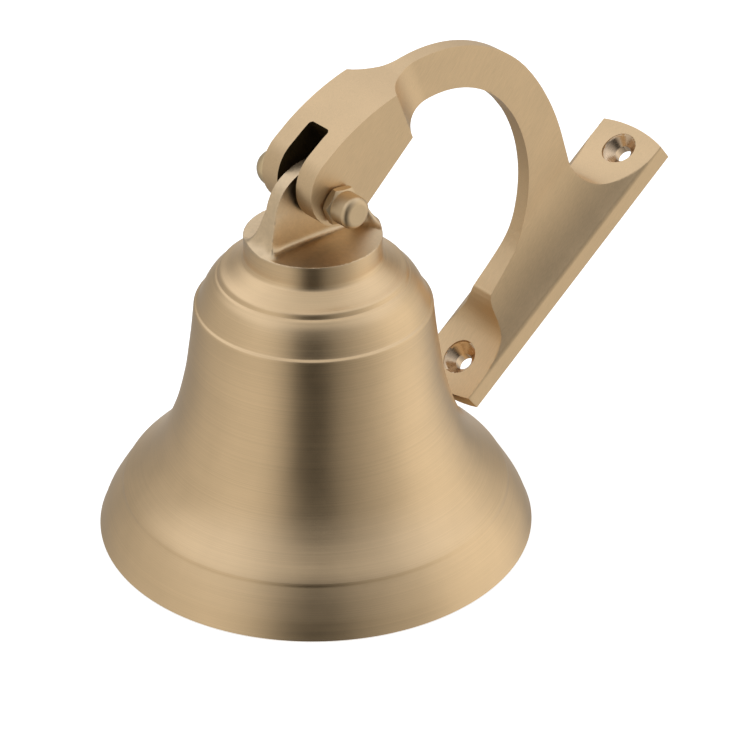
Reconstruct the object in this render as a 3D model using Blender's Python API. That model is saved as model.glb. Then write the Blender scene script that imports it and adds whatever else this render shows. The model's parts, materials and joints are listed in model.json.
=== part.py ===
"""A 5 inch brass ship's bell with its hinged wall bracket and its clapper.

The bell stands on its mouth and the bracket lies folded over on its pivot bolt, so that the lower end
of its wall plate leans on the bell's flank. Metres, +Z up. The bell's axis is parallel to Z, the pivot
bolt is parallel to X, and the wall plate is on the +Y side. The origin is under the middle of the whole
object's box, on the surface that the bell stands on.
"""

import math

import bmesh
import bpy
from mathutils import Matrix, Vector

MM = 0.001
GAP = 0.3 * MM

# Driving dimensions
MOUTH_RADIUS = 63.5 * MM
BELL_Y = -32.8 * MM
PIN_HEIGHT = 108.0 * MM
BOSS_RADIUS = 19.5 * MM
BOSS_TOP = 93.9 * MM
LUG_THICKNESS = 4.3 * MM
LUG_ROOT = 91.0 * MM
LUG_REACH = 122.0 * MM
BOLT_RADIUS = 3.0 * MM
BOLT_HOLE_RADIUS = BOLT_RADIUS + GAP

# The bracket, in its own mounted frame: up from the pivot bolt, and out from the wall
LEAN = math.radians(37.7)
WALL_TO_PIN = 100.0 * MM
PLATE_WIDTH = 25.0 * MM
PLATE_THICKNESS = 5.7 * MM
PLATE_TOP = 85.8 * MM
PLATE_BOTTOM = -13.5 * MM
PLATE_END_RADIUS = 45.0 * MM
ARM_THICKNESS = 4.8 * MM
SCOOP_RADIUS = 22.0 * MM
NECK_RADIUS = 15.0 * MM
FORK_WIDTH = 21.5 * MM
SLOT_WIDTH = 8.1 * MM
SLOT_FLOOR = 13.8 * MM
SCREW_HOLE_HEIGHTS = (77.6 * MM, -2.4 * MM)
SCREW_HOLE_RADIUS = 2.6 * MM
COUNTERSINK_RADIUS = 5.4 * MM

# The cap nut, whose first corner is at an angle from the wall's direction, in degrees
CAP_NUT_FLATS = 10.0 * MM
CAP_NUT_TURN = 45.3
CAP_NUT_BORE_END = 16.8 * MM

# The clapper, hung on the bell's axis
EYE_BOLT_HOLE_TOP = 91.0 * MM
CROWN_INSIDE = 80.0 * MM
EYE_CENTRE = 68.5 * MM
EYE_RADIUS = 5.0 * MM
EYE_WIRE = 1.6 * MM
LINK_RADIUS = 6.0 * MM
LINK_WIRE = 1.3 * MM
ROD_EYE_RADIUS = 4.6 * MM
ROD_EYE_WIRE = 1.5 * MM
ROD_RADIUS = 2.5 * MM
BALL_CENTRE = 20.5 * MM
BALL_RADIUS = 9.5 * MM
TAIL_EYE_RADIUS = 2.7 * MM
TAIL_EYE_WIRE = 1.0 * MM
TAIL_SHANK_RADIUS = 1.5 * MM

BELL_SEGMENTS = 48
ROUND_SEGMENTS = 24


# Scene and materials


def clear_scene():
    for thing in list(bpy.data.objects):
        bpy.data.objects.remove(thing)


def brass(name, colour, roughness):
    material = bpy.data.materials.new(name)
    material.use_nodes = True
    shader = material.node_tree.nodes["Principled BSDF"]
    shader.inputs["Base Color"].default_value = (*colour, 1.0)
    shader.inputs["Roughness"].default_value = roughness
    shader.inputs["Metallic"].default_value = 1.0
    return material


# Points along outlines


def arc(centre, radius, start, end, steps):
    """Points along an arc, from angle start to angle end in degrees."""
    angles = [math.radians(start + (end - start) * i / steps) for i in range(steps + 1)]
    return [(centre[0] + radius * math.cos(a), centre[1] + radius * math.sin(a)) for a in angles]


def smooth(points, steps):
    """Points of a Catmull-Rom curve through the given ones."""
    ends = [points[0], *points, points[-1]]
    curve = []
    for a, b, c, d in zip(ends, ends[1:], ends[2:], ends[3:]):
        for i in range(steps):
            t = i / steps
            weights = (
                -0.5 * t + t * t - 0.5 * t**3,
                1 - 2.5 * t * t + 1.5 * t**3,
                0.5 * t + 2 * t * t - 1.5 * t**3,
                -0.5 * t * t + 0.5 * t**3,
            )
            curve.append(tuple(sum(w * p[k] for w, p in zip(weights, (a, b, c, d))) for k in (0, 1)))
    curve.append(points[-1])
    return curve


def scaled(points):
    """Outline points given in millimetres, in metres."""
    return [(x * MM, y * MM) for x, y in points]


# Solids


def finish(mesh_data, name, material=None, parent=None, cutter=False):
    """Makes an object from a bmesh, with its faces pointing out and round faces shaded smooth."""
    bmesh.ops.remove_doubles(mesh_data, verts=mesh_data.verts, dist=0.001 * MM)
    bmesh.ops.recalc_face_normals(mesh_data, faces=mesh_data.faces)
    mesh = bpy.data.meshes.new(name)
    mesh_data.to_mesh(mesh)
    mesh_data.free()
    mesh.shade_smooth()
    mesh.set_sharp_from_angle(angle=math.radians(30))
    thing = bpy.data.objects.new(name, mesh)
    bpy.context.collection.objects.link(thing)
    thing.parent = parent
    if material:
        mesh.materials.append(material)
    if cutter:
        thing.hide_render = True
        thing.display_type = "WIRE"
    return thing


def turned(profile, segments, matrix=Matrix()):
    """A bmesh turned about Z from (radius, height) points, the first and last of them on the axis."""
    mesh_data = bmesh.new()
    points = [mesh_data.verts.new((radius, 0, height)) for radius, height in profile]
    edges = [mesh_data.edges.new(pair) for pair in zip(points, points[1:])]
    bmesh.ops.spin(
        mesh_data,
        geom=points + edges,
        cent=(0, 0, 0),
        axis=(0, 0, 1),
        angle=math.tau,
        steps=segments,
        use_merge=True,
    )
    bmesh.ops.remove_doubles(mesh_data, verts=mesh_data.verts, dist=0.001 * MM)
    bmesh.ops.transform(mesh_data, matrix=matrix, verts=mesh_data.verts)
    return mesh_data


def prism(outline, depth, place):
    """A bmesh of an outline, depth thick about c = 0, where place turns (a, b, c) into a point."""
    mesh_data = bmesh.new()
    low = [mesh_data.verts.new(place(a, b, -depth / 2)) for a, b in outline]
    face = mesh_data.faces.new(low)
    grown = bmesh.ops.extrude_face_region(mesh_data, geom=[face])
    move = Vector(place(0, 0, depth)) - Vector(place(0, 0, 0))
    moved = [item for item in grown["geom"] if isinstance(item, bmesh.types.BMVert)]
    bmesh.ops.translate(mesh_data, verts=moved, vec=move)
    return mesh_data


def ring(radius, wire, matrix, around=24, across=10):
    """A bmesh of a closed wire ring about Z."""
    mesh_data = bmesh.new()
    bmesh.ops.create_circle(mesh_data, segments=across, radius=wire)
    upright = Matrix.Translation((radius, 0, 0)) @ Matrix.Rotation(math.pi / 2, 4, "X")
    bmesh.ops.transform(mesh_data, matrix=upright, verts=mesh_data.verts)
    bmesh.ops.spin(
        mesh_data,
        geom=mesh_data.verts[:] + mesh_data.edges[:],
        cent=(0, 0, 0),
        axis=(0, 0, 1),
        angle=math.tau,
        steps=around,
        use_merge=True,
    )
    bmesh.ops.transform(mesh_data, matrix=matrix, verts=mesh_data.verts)
    return mesh_data


def hexagon(across_flats, turn=0.0):
    """A hexagon's corners, the first of them at the angle turn, in degrees."""
    return arc((0, 0), across_flats / math.sqrt(3), turn, turn + 300, 5)


def boolean(thing, other, operation):
    modifier = thing.modifiers.new(f"{operation.lower()} {other.name}", "BOOLEAN")
    modifier.operation = operation
    modifier.object = other
    modifier.solver = "EXACT"


def round_cutter(name, radius, low, high, matrix, parent=None):
    """A cylinder about Z, then moved by matrix, that cuts a hole."""
    profile = [(0, high), (radius, high), (radius, low), (0, low)]
    return finish(turned(profile, ROUND_SEGMENTS, matrix), name, parent=parent, cutter=True)


# The bell


def bell_profile():
    """The turned shell: from the axis, down the outside, across the mouth's land and up the inside."""
    boss_foot = arc((22.1, 89.2), 2.6, 180, 232, 3)
    crown = [(22.3, 85.8), (26.2, 83.4), (26.6, 82.0)]
    shoulder = smooth([(27.0, 81.8), (30.4, 78.4), (33.1, 72.7)], 3)
    waist = smooth([(33.9, 72.2), (34.9, 63.5), (36.8, 50.8), (39.9, 38.1), (44.3, 27.5)], 2)
    flare = smooth([(44.3, 27.5), (50.5, 19.6), (56.1, 13.7)], 3)
    lip = [(56.4, 13.2), (59.2, 8.9), (61.7, 4.4), (MOUTH_RADIUS / MM, 0.0)]
    inside = [
        (58.5, 0.0),
        (55.4, 5.0),
        (50.8, 12.4),
        (46.0, 19.3),
        (40.2, 26.8),
        (36.4, 36.0),
        (33.2, 50.0),
        (30.9, 63.0),
        (28.8, 72.0),
        (24.0, 78.2),
        (15.0, 80.0),
    ]
    outside = boss_foot + crown + shoulder + waist + flare[1:] + lip
    boss = [(0, BOSS_TOP), (BOSS_RADIUS, BOSS_TOP)]
    return [*boss, *scaled(outside + inside), (0, CROWN_INSIDE)]


def lug_side_outline():
    """The lug seen along the pivot bolt: straight flanks that lean in to a round top."""
    flank_angle = 19.6
    half_foot = BOSS_RADIUS + 0.1 * MM
    top = scaled(arc((0, 100.1), 16.6, flank_angle, 180 - flank_angle, 14))
    low = [(-half_foot, LUG_ROOT), (half_foot, LUG_ROOT)]
    return [*low, (half_foot, BOSS_TOP), *top, (-half_foot, BOSS_TOP)]


def lug_front_outline():
    """The lug seen across the bolt: a plate that flares into the flat top of the boss."""
    half = LUG_THICKNESS / 2
    flare = 4.0 * MM
    foot = BOSS_TOP - 0.05 * MM
    side = half + flare
    right = arc((side, foot + flare), flare, 270, 180, 5)
    left = [(-x, z) for x, z in reversed(right)]
    tip = [(half, LUG_REACH), (-half, LUG_REACH)]
    return [(-side, LUG_ROOT), (side, LUG_ROOT), *right, *tip, *left]


def make_bell(material, pin):
    axis = Matrix.Translation((0, BELL_Y, 0))
    shell = finish(turned(bell_profile(), BELL_SEGMENTS, axis), "bell", material)
    post_radius = BOSS_RADIUS - 0.05 * MM
    low = LUG_ROOT - 1.0 * MM
    post = [(0, LUG_REACH), (post_radius, LUG_REACH), (post_radius, low), (0, low)]
    lug = finish(turned(post, BELL_SEGMENTS, axis), "lug", cutter=True)
    span = 3 * BOSS_RADIUS
    side = prism(lug_side_outline(), span, lambda a, b, c: (c, BELL_Y + a, b))
    side = finish(side, "lug_side", cutter=True)
    front = prism(lug_front_outline(), span, lambda a, b, c: (a, BELL_Y + c, b))
    front = finish(front, "lug_front", cutter=True)
    boolean(lug, side, "INTERSECT")
    boolean(lug, front, "INTERSECT")
    boolean(shell, lug, "UNION")
    across = Matrix.Translation(pin) @ Matrix.Rotation(math.pi / 2, 4, "Y")
    lug_hole = round_cutter("lug_hole", BOLT_HOLE_RADIUS, -20 * MM, 20 * MM, across)
    boolean(shell, lug_hole, "DIFFERENCE")
    crown_hole = round_cutter("crown_hole", BOLT_HOLE_RADIUS, 70 * MM, EYE_BOLT_HOLE_TOP, axis)
    boolean(shell, crown_hole, "DIFFERENCE")
    return shell


# The wall bracket


def bracket_outline():
    """The bracket seen along the pivot bolt, as (up from the bolt, out from the wall)."""
    thick = PLATE_THICKNESS / MM
    back = [(-16, 0), (88, 0), (88, thick)]
    upper_pad = smooth([(83.5, thick), (77.0, 6.1), (71.5, 7.2), (66.9, 8.8)], 2)
    upper_root = smooth([(64.1, 10.5), (62.5, 12.4), (61.5, 14.6), (61.0, 17.4), (61.3, 21.8)], 2)
    arm_flank = arc((-10.1, 59.7), 80.0, -20, 0, 6)
    arm_crown = arc((22.1, 59.7), 47.8, 5, 62, 12)
    fork_top = arc((5.6, 46.0), 67.2, 60, 86, 6)
    fork_tip = arc((4.5, 101.6), 11.6, 90, 275, 16)
    arch_upper = arc((25.7, 60.2), 32.0, 85, 0, 14)
    arch_lower = arc((11.7, 60.2), 46.1, -8, -58, 8)
    arch_foot = [(30.8, 18.9), (25.0, 17.7), (16.6, 16.3)]
    lower_root = smooth([(15.0, 15.1), (13.9, 13.6), (12.8, 11.8), (11.5, 10.0), (9.9, 8.5)], 1)
    lower_pad = smooth([(7.6, 7.4), (4.0, 6.6), (-1.0, 6.0), (-9.0, thick)], 2)
    front = [(-16, thick)]
    return scaled(
        back + upper_pad + upper_root + arm_flank + arm_crown + fork_top + fork_tip
        + arch_upper + arch_lower + arch_foot + lower_root + lower_pad + front
    )


def plate_plan():
    """The wall plate seen from the front, as (across, up): straight sides and slightly bowed ends."""
    half = PLATE_WIDTH / 2
    bow = math.degrees(math.asin(half / PLATE_END_RADIUS))
    top = arc((0, PLATE_TOP - PLATE_END_RADIUS), PLATE_END_RADIUS, 90 - bow, 90 + bow, 8)
    bottom = arc((0, PLATE_BOTTOM + PLATE_END_RADIUS), PLATE_END_RADIUS, 270 - bow, 270 + bow, 8)
    return top + bottom


def scoop_section(side):
    """What is cut beside the arm, as (across, out): a hollow round from the arm to the plate's edge."""
    half_arm = ARM_THICKNESS / 2
    foot = PLATE_THICKNESS + 0.1 * MM
    centre = half_arm + SCOOP_RADIUS
    rise = math.sqrt(SCOOP_RADIUS**2 - (centre - PLATE_WIDTH / 2) ** 2)
    sweep = math.degrees(math.asin(rise / SCOOP_RADIUS))
    curve = arc((centre, foot + rise), SCOOP_RADIUS, 180, 180 + sweep, 8)
    far = 130 * MM
    outline = [(half_arm, far), *curve, (PLATE_WIDTH, foot), (PLATE_WIDTH, far)]
    return [(side * across, out) for across, out in outline]


def neck_section(side):
    """What is cut beside the fork, as (across, along): all beyond its cheek, and the neck to the arm."""
    half_arm = ARM_THICKNESS / 2
    half_fork = FORK_WIDTH / 2
    centre = half_arm + NECK_RADIUS
    reach = math.sqrt(NECK_RADIUS**2 - (centre - half_fork) ** 2)
    sweep = math.degrees(math.asin(reach / NECK_RADIUS))
    curve = arc((centre, reach), NECK_RADIUS, 180 + sweep, 180, 10)
    near, far = -90 * MM, 120 * MM
    outline = [(half_fork, near), *curve, (half_arm, far), (PLATE_WIDTH, far), (PLATE_WIDTH, near)]
    return [(side * across, along) for across, along in outline]


def from_mounted(across, up, out):
    """A point of the mounted frame in the bracket's own frame, whose origin is on the pivot bolt."""
    return (across, WALL_TO_PIN - out, up)


def side_cutter(side, pivot):
    """The solid cut from one side of the bracket: the scoop and the neck's cut where both hold."""
    word = "right" if side > 0 else "left"
    scoop = finish(
        prism(scoop_section(side), 300 * MM, lambda a, b, c: from_mounted(a, c, b)),
        f"scoop_{word}",
        parent=pivot,
        cutter=True,
    )
    # The neck starts on a line from the fork's front edge to its back edge, seen along the bolt.
    start = Vector((32.6, 107.0)) * MM
    end = Vector((28.4, 92.1)) * MM
    line = (end - start).normalized()
    along = Vector((-line.y, line.x))
    neck = finish(
        prism(
            neck_section(side),
            400 * MM,
            lambda a, b, c: from_mounted(a, *(start + along * b + line * c)),
        ),
        f"neck_{word}",
        parent=pivot,
        cutter=True,
    )
    boolean(scoop, neck, "INTERSECT")
    return scoop


def fork_slot(pivot):
    """The slot between the fork's cheeks, with small round corners at its floor."""
    half = SLOT_WIDTH / 2
    corner = 1.2 * MM
    floor = SLOT_FLOOR
    right = arc((half - corner, floor - corner), corner, 0, 90, 4)
    left = arc((corner - half, floor - corner), corner, 90, 180, 4)
    outline = [(-half, -30 * MM), (half, -30 * MM), *right, *left]
    slot = prism(outline, 60 * MM, lambda a, b, c: from_mounted(a, b, WALL_TO_PIN + c))
    return finish(slot, "fork_slot", parent=pivot, cutter=True)


def screw_hole(height, number, pivot):
    """One countersunk screw hole through the wall plate."""
    face = PLATE_THICKNESS
    rim = face - 0.2 * MM
    seat = rim - (COUNTERSINK_RADIUS - 0.25 * MM - SCREW_HOLE_RADIUS)
    profile = [
        (0, face + 2 * MM),
        (COUNTERSINK_RADIUS, face + 2 * MM),
        (COUNTERSINK_RADIUS, rim),
        (COUNTERSINK_RADIUS - 0.25 * MM, rim),
        (SCREW_HOLE_RADIUS, seat),
        (SCREW_HOLE_RADIUS, -2 * MM),
        (0, -2 * MM),
    ]
    outward = Matrix.Translation(from_mounted(0, height, 0)) @ Matrix.Rotation(math.pi / 2, 4, "X")
    return finish(
        turned(profile, ROUND_SEGMENTS, outward), f"screw_hole_{number}", parent=pivot, cutter=True
    )


def make_bracket(material, pivot):
    body = prism(bracket_outline(), PLATE_WIDTH, lambda a, b, c: from_mounted(c, a, b))
    bracket = finish(body, "wall_bracket", material, pivot)
    plan = prism(plate_plan(), 400 * MM, lambda a, b, c: from_mounted(a, b, c))
    boolean(bracket, finish(plan, "plate_plan", parent=pivot, cutter=True), "INTERSECT")
    for side in (1, -1):
        boolean(bracket, side_cutter(side, pivot), "DIFFERENCE")
    boolean(bracket, fork_slot(pivot), "DIFFERENCE")
    across = Matrix.Rotation(math.pi / 2, 4, "Y")
    hole = round_cutter("cheek_holes", BOLT_HOLE_RADIUS, -20 * MM, 20 * MM, across, pivot)
    boolean(bracket, hole, "DIFFERENCE")
    for number, height in enumerate(SCREW_HOLE_HEIGHTS, 1):
        boolean(bracket, screw_hole(height, number, pivot), "DIFFERENCE")
    return bracket


# The pivot bolt and its cap nut, which lie along X


def make_pivot_bolt(material, pivot):
    """A bolt with a tall domed head on the -X side, whose end stops inside the cap nut."""
    cheek = FORK_WIDTH / 2 + GAP
    radius = 5.4 * MM
    dome_foot = cheek + 5.2 * MM
    tip = CAP_NUT_BORE_END - GAP
    chamfer = 0.7 * MM
    dome = [(radius * x, dome_foot + radius * y) for x, y in arc((0, 0), 1, 90, 0, 8)]
    shank = [
        (radius, cheek),
        (BOLT_RADIUS, cheek),
        (BOLT_RADIUS, chamfer - tip),
        (BOLT_RADIUS - chamfer, -tip),
        (0, -tip),
    ]
    lay = Matrix.Rotation(-math.pi / 2, 4, "Y")
    return finish(turned(dome + shank, ROUND_SEGMENTS, lay), "pivot_bolt", material, pivot)


def make_cap_nut(material, pivot):
    """A low cap nut: a short hexagon, then a barrel with a rounded shoulder and a flat end."""
    base = FORK_WIDTH / 2 + GAP
    collar = base + 2.5 * MM
    end = base + 8.7 * MM
    barrel = 4.7 * MM
    shoulder = 1.9 * MM
    corners = hexagon(CAP_NUT_FLATS, CAP_NUT_TURN)
    middle = (base + collar) / 2
    nut = finish(
        prism(corners, collar - base, lambda a, b, c: (middle + c, a, b)), "cap_nut", material, pivot
    )
    lay = Matrix.Rotation(math.pi / 2, 4, "Y")
    rim = arc((barrel - shoulder, end - shoulder), shoulder, 90, 0, 4)
    start = base + 1.0 * MM
    cap = turned([(0, end), *rim, (barrel, start), (0, start)], ROUND_SEGMENTS, lay)
    boolean(nut, finish(cap, "cap_nut_barrel", parent=pivot, cutter=True), "UNION")
    bore = round_cutter("cap_nut_bore", BOLT_HOLE_RADIUS, base / 2, CAP_NUT_BORE_END, lay, pivot)
    boolean(nut, bore, "DIFFERENCE")
    return nut


# The clapper


def at_height(height):
    return Matrix.Translation((0, BELL_Y, height))


def facing_y(height):
    """A ring about Z turned so that its hole faces Y."""
    return at_height(height) @ Matrix.Rotation(math.pi / 2, 4, "X")


def facing_x(height):
    """A ring about Z turned so that its hole faces X."""
    return at_height(height) @ Matrix.Rotation(math.pi / 2, 4, "Y")


def make_eye_bolt(material):
    """The eye bolt in the crown: its eye's hole faces Y, and its shank fills the tapped hole."""
    eye = finish(ring(EYE_RADIUS, EYE_WIRE, facing_y(EYE_CENTRE)), "clapper_eye_bolt", material)
    low = EYE_CENTRE + EYE_RADIUS - 0.6 * MM
    high = EYE_BOLT_HOLE_TOP - 0.5 * MM
    shank = [
        (0, high),
        (BOLT_RADIUS - 0.6 * MM, high),
        (BOLT_RADIUS, high - 0.6 * MM),
        (BOLT_RADIUS, low + 1.0 * MM),
        (BOLT_RADIUS - 0.8 * MM, low),
        (0, low),
    ]
    stem = finish(turned(shank, ROUND_SEGMENTS, at_height(0)), "eye_bolt_shank", cutter=True)
    boolean(eye, stem, "UNION")
    return eye


def lock_nut(name, across_flats, thickness, low, bore, material, drop=0.0, parent=None):
    """A hexagonal nut on the bell's axis, whose underside is at height low, less drop in its parent."""
    y = BELL_Y if parent is None else 0.0
    middle = low - drop + thickness / 2
    body = prism(hexagon(across_flats), thickness, lambda a, b, c: (a, y + b, middle + c))
    nut = finish(body, name, material, parent)
    place = Matrix.Translation((0, y, middle))
    boolean(nut, round_cutter(f"{name}_bore", bore, -thickness, thickness, place, parent), "DIFFERENCE")
    return nut


def link_pivot_height():
    """The middle of the eye bolt's wire at the bottom of its eye, which the link swings about."""
    return EYE_CENTRE - EYE_RADIUS


def link_centre():
    return link_pivot_height() + EYE_WIRE + 0.35 * MM + LINK_WIRE - LINK_RADIUS


def rod_pivot_height():
    """The middle of the link's wire at its bottom, which the clapper swings about."""
    return link_centre() - LINK_RADIUS


def rod_eye_centre():
    return rod_pivot_height() + LINK_WIRE + 0.35 * MM + ROD_EYE_WIRE - ROD_EYE_RADIUS


def from_pivot(height):
    """What takes a point on the bell's axis into the frame of a pivot at this height."""
    return Matrix.Translation((0, -BELL_Y, -height))


def make_link(material, parent):
    place = from_pivot(link_pivot_height()) @ facing_x(link_centre())
    return finish(ring(LINK_RADIUS, LINK_WIRE, place), "clapper_link", material, parent)


def make_rod(material, parent):
    """The clapper's rod, with an eye at its top whose hole faces Y."""
    down = from_pivot(rod_pivot_height())
    loop = ring(ROD_EYE_RADIUS, ROD_EYE_WIRE, down @ facing_y(rod_eye_centre()))
    rod = finish(loop, "clapper_rod", material, parent)
    high = rod_eye_centre() - ROD_EYE_RADIUS + 0.4 * MM
    low = BALL_CENTRE + 1.0 * MM
    bar = [
        (0, high),
        (1.4 * MM, high),
        (ROD_RADIUS, high - 2.2 * MM),
        (ROD_RADIUS, low + 0.6 * MM),
        (ROD_RADIUS - 0.6 * MM, low),
        (0, low),
    ]
    stem = finish(turned(bar, ROUND_SEGMENTS, down @ at_height(0)), "rod_bar", parent=parent, cutter=True)
    boolean(rod, stem, "UNION")
    return rod


def make_ball(material, parent):
    """The ball, with a tapped hole for the rod above and one for the lanyard eye below."""
    down = from_pivot(rod_pivot_height()) @ at_height(BALL_CENTRE)
    top_hole = ROD_RADIUS + GAP
    low_hole = TAIL_SHANK_RADIUS + GAP
    top = math.degrees(math.acos(top_hole / BALL_RADIUS))
    bottom = math.degrees(math.acos(low_hole / BALL_RADIUS))
    surface = arc((0, 0), BALL_RADIUS, top, -bottom, 22)
    profile = [(0, 0.5 * MM), (top_hole, 0.5 * MM), *surface, (low_hole, -2.5 * MM), (0, -2.5 * MM)]
    return finish(turned(profile, 32, down), "clapper_ball", material, parent)


def make_lanyard_eye(material, parent):
    """The small eye screwed into the ball's underside, where a lanyard would be tied."""
    down = from_pivot(rod_pivot_height())
    centre = BALL_CENTRE - BALL_RADIUS - TAIL_EYE_RADIUS - 1.4 * MM
    loop = ring(TAIL_EYE_RADIUS, TAIL_EYE_WIRE, down @ facing_x(centre), 20, 10)
    eye = finish(loop, "lanyard_eye", material, parent)
    high = BALL_CENTRE - 3.0 * MM
    low = centre + TAIL_EYE_RADIUS - 0.3 * MM
    shank = [(0, high), (TAIL_SHANK_RADIUS, high), (TAIL_SHANK_RADIUS, low), (0, low)]
    stem = finish(turned(shank, 16, down @ at_height(0)), "lanyard_eye_shank", parent=parent, cutter=True)
    boolean(eye, stem, "UNION")
    return eye


def empty(name, location, rotation=(0, 0, 0), parent=None):
    thing = bpy.data.objects.new(name, None)
    bpy.context.collection.objects.link(thing)
    thing.location = location
    thing.rotation_euler = rotation
    thing.parent = parent
    return thing


def main():
    clear_scene()
    satin = brass("satin cast brass", (0.60, 0.47, 0.29), 0.36)
    bright = brass("machined brass", (0.66, 0.50, 0.26), 0.25)
    steel = brass("plated steel wire", (0.62, 0.60, 0.56), 0.3)

    pin = Vector((0, BELL_Y, PIN_HEIGHT))
    make_bell(satin, pin)
    pivot = empty("bracket_pivot", pin, (LEAN - math.pi / 2, 0, 0))
    make_bracket(satin, pivot)
    make_pivot_bolt(bright, pivot)
    make_cap_nut(bright, pivot)

    make_eye_bolt(bright)
    lock_nut(
        "eye_bolt_nut", 10 * MM, 3.6 * MM, CROWN_INSIDE - GAP - 3.6 * MM, BOLT_HOLE_RADIUS, bright
    )
    link_pivot = empty("link_pivot", (0, BELL_Y, link_pivot_height()))
    make_link(steel, link_pivot)
    rod_pivot = empty("rod_pivot", (0, 0, rod_pivot_height() - link_pivot_height()), parent=link_pivot)
    make_rod(bright, rod_pivot)
    make_ball(bright, rod_pivot)
    ball_top = BALL_CENTRE + BALL_RADIUS
    rod_hole = ROD_RADIUS + GAP
    lock_nut(
        "rod_lock_nut", 8 * MM, 3.2 * MM, ball_top, rod_hole, bright, rod_pivot_height(), rod_pivot
    )
    make_lanyard_eye(bright, rod_pivot)


main()
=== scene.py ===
"""The looks of a brass ship's bell and its wall bracket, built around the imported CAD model.

Lengths in the shape functions are millimetres. The bell's pieces are made about the bell's axis, with
z = 0 at the mouth, and the bracket's pieces in the bracket's mounted frame: across the bracket, up from
the pivot bolt, and out from the wall.
"""

import json
import math

import bmesh
import bpy
import numpy as np
from mathutils import Matrix, Vector


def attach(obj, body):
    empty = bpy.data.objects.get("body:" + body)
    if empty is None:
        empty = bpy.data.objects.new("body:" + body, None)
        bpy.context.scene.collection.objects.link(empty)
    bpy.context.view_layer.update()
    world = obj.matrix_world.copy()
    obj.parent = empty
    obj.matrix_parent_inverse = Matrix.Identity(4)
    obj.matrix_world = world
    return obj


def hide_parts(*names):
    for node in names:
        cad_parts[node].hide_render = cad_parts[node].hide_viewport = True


MM = 0.001

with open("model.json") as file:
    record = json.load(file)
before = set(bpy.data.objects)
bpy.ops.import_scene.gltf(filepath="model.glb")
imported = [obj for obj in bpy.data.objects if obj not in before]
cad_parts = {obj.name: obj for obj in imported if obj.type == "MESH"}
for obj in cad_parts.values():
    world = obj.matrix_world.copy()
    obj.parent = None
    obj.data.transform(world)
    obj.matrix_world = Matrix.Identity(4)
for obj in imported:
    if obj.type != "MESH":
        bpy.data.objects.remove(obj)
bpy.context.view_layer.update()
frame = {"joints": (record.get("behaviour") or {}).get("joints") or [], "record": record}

# Places read from the frame
JOINTS = {joint["name"]: joint for joint in frame["joints"]}
PIN = Vector(JOINTS["bracket_hinge"]["pos_m"])
BELL_AXIS = Vector((0.0, PIN.y, 0.0))
PLATE_NORMAL = next(m for m in frame["record"]["mounts"] if m["name"] == "wall_plate_back")["axis"]
TILT = math.atan2(-PLATE_NORMAL[2], PLATE_NORMAL[1])

# Frames that pieces are made in
ON_BELL_AXIS = Matrix.Translation(BELL_AXIS)
WALL_TO_PIN = 100.0
# The bracket's frame, as (across, up, out): at the pivot bolt, 100 mm out from the wall.
ON_BRACKET = (
    Matrix.Translation(PIN)
    @ Matrix.Rotation(-TILT, 4, "X")
    @ Matrix(((1, 0, 0, 0), (0, 0, -1, WALL_TO_PIN * MM), (0, 1, 0, 0), (0, 0, 0, 1)))
)
# The bolt's frame: about the pivot bolt, with +Z along X towards the cap nut.
ON_BOLT = Matrix.Translation(PIN) @ Matrix.Rotation(-TILT, 4, "X") @ Matrix.Rotation(math.pi / 2, 4, "Y")


# Meshes from fields: a field is negative inside a solid, and near a distance close to its surface

CROSSING_ROUNDS = 4
PULL_TO_MIDDLE = 0.04


def round_max(a, b, radius):
    """Where both fields are negative, with the edge between them rounded."""
    outside = np.hypot(np.maximum(a + radius, 0), np.maximum(b + radius, 0))
    return np.minimum(np.maximum(a, b), -radius) + outside


def round_min(a, b, radius):
    """Where either field is negative, with a fillet in the corner between them."""
    return -round_max(-a, -b, radius)


def crossings(field, axes, values, axis):
    """Where the surface crosses the grid's edges that run along an axis.

    Returns each crossed edge's place in the grid, its crossing point, and whether it starts inside.
    """
    near = [slice(None)] * 3
    far = [slice(None)] * 3
    near[axis] = slice(0, -1)
    far[axis] = slice(1, None)
    first, second = values[tuple(near)], values[tuple(far)]
    crossed = (first < 0) != (second < 0)
    where = np.argwhere(crossed)
    first, second = first[crossed], second[crossed]
    low, high = np.zeros(len(where)), np.ones(len(where))
    starts_inside = first < 0
    start = np.stack([axes[k][where[:, k]] for k in range(3)], axis=1)
    step = axes[0][1] - axes[0][0]
    for _ in range(CROSSING_ROUNDS):
        part = low + (high - low) * np.clip(first / (first - second), 0.02, 0.98)
        points = start.copy()
        points[:, axis] += part * step
        here = field(*points.T)
        same = (here < 0) == starts_inside
        low, first = np.where(same, part, low), np.where(same, here, first)
        high, second = np.where(same, high, part), np.where(same, second, here)
    part = low + (high - low) * first / (first - second)
    points[:, axis] = start[:, axis] + part * step
    return where, points, starts_inside


def slopes(field, points, small):
    """The direction in which the field grows, at each point."""
    slope = np.empty_like(points)
    for axis in range(3):
        ahead, behind = points.copy(), points.copy()
        ahead[:, axis] += small
        behind[:, axis] -= small
        slope[:, axis] = field(*ahead.T) - field(*behind.T)
    return slope / np.maximum(np.linalg.norm(slope, axis=1), 1e-9)[:, None]


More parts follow.
